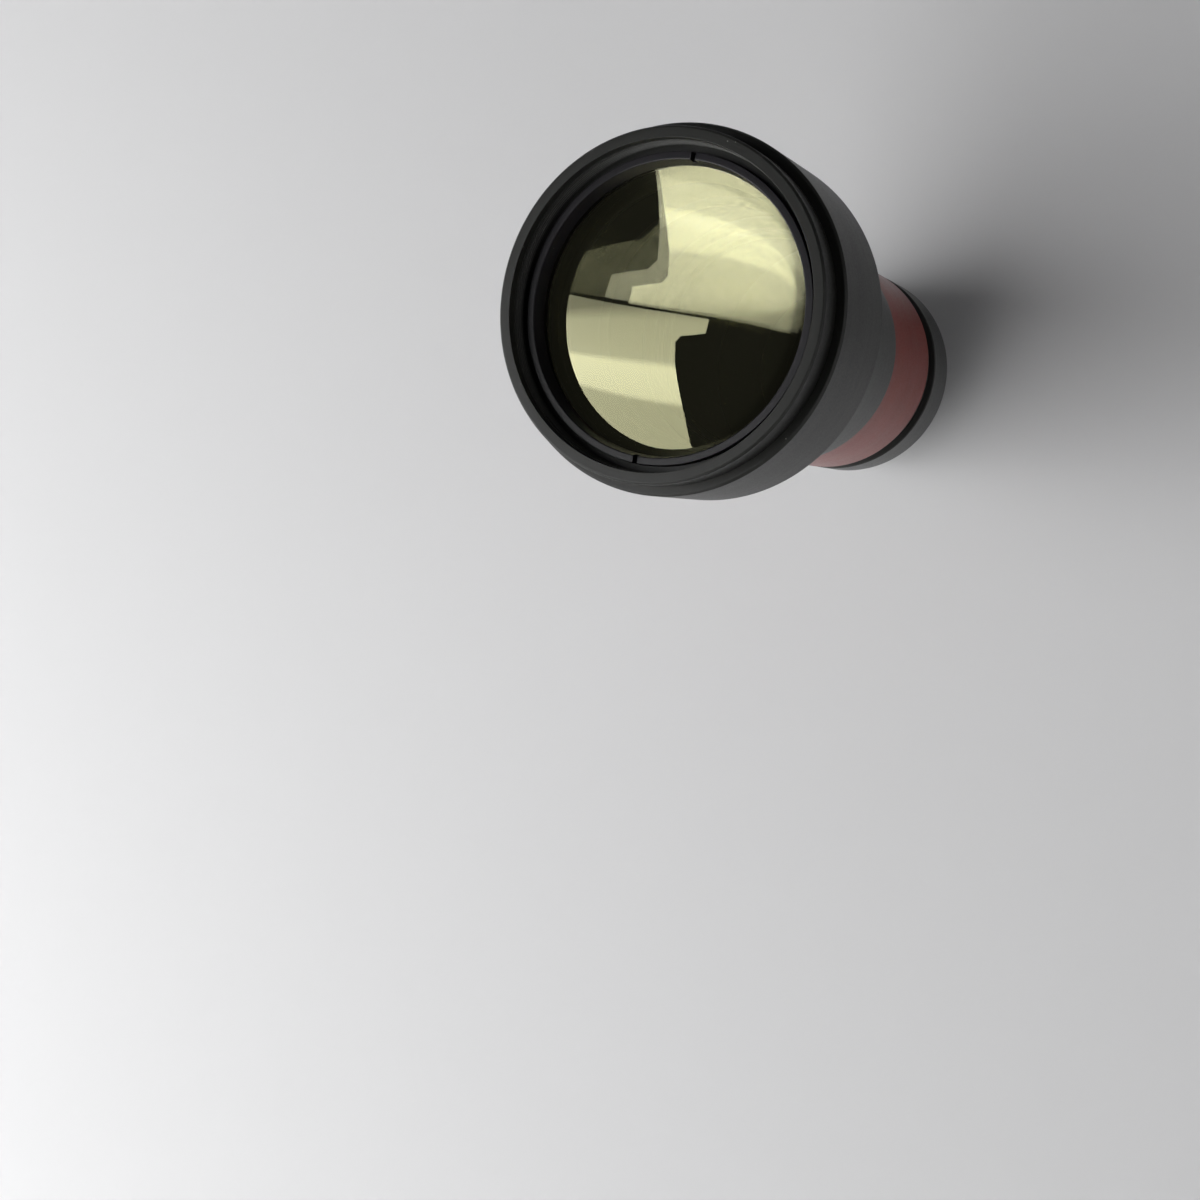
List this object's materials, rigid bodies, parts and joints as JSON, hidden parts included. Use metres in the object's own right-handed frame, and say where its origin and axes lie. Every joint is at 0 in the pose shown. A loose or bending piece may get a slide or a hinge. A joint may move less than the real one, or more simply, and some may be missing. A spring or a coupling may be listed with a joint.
{
  "type": "laser beam expander",
  "caption": "Beam expander: wide lens housing on a slim barrel, coated output lens in a threaded cell, input thread, and a ring that slides the input lens to set divergence.",
  "frame": {"origin": "centre of the input end's face, which the part stands on", "axes": "+Z along the optical axis from the input end to the output lens; the ring's pin lies 45 degrees from +X towards +Y"},
  "size_m": [0.062, 0.062, 0.1205],
  "materials": {
    "black_anodised": "satin black anodised, turned",
    "red_lacquer": "glossy red",
    "coated_glass": "anti-reflection coated, polished",
    "black_acetal": "matt black plastic",
    "black_steel": "black oxide steel",
    "spring_steel": "ground steel",
    "nylon": "natural nylon"
  },
  "bodies": {
    "housing": {"output_cell": "black_anodised", "output_retaining_ring": "black_anodised", "output_lens_front": "coated_glass", "output_lens_spacer": "black_anodised", "output_lens_rear": "coated_glass", "output_housing": "black_anodised", "housing_set_screws": "black_steel", "main_barrel": "black_anodised", "red_sleeve": "red_lacquer", "baffle_retaining_ring": "black_anodised", "front_baffle": "black_anodised", "rear_baffle": "black_anodised", "front_glide_washer": "black_acetal", "rear_glide_washer": "black_acetal", "wave_washer": "spring_steel", "input_mount": "black_anodised", "input_mount_screws": "black_steel"},
    "adjusting_ring": {"divergence_ring": "black_anodised", "pin_access_plug": "black_steel", "lock_screw": "black_steel", "lock_pad": "nylon"},
    "sliding_cell": {"input_cell": "black_anodised", "input_lens": "coated_glass", "input_retaining_ring": "black_anodised", "drive_pin": "spring_steel"}
  },
  "joints": [
    {"name": "ring_turn", "type": "hinge", "parent": "housing", "child": "adjusting_ring", "pos_m": [0, 0, 0.01814], "axis": [0, 0, 1], "range_deg": [-150, 150]},
    {"name": "lens_slide", "type": "slide", "parent": "housing", "child": "sliding_cell", "axis": [0, 0, 1], "range_m": [-0.00125, 0.00125]}
  ],
  "couplings": [
    {"joint": "lens_slide", "follows": "ring_turn", "m_per_rad": -0.00047746}
  ]
}
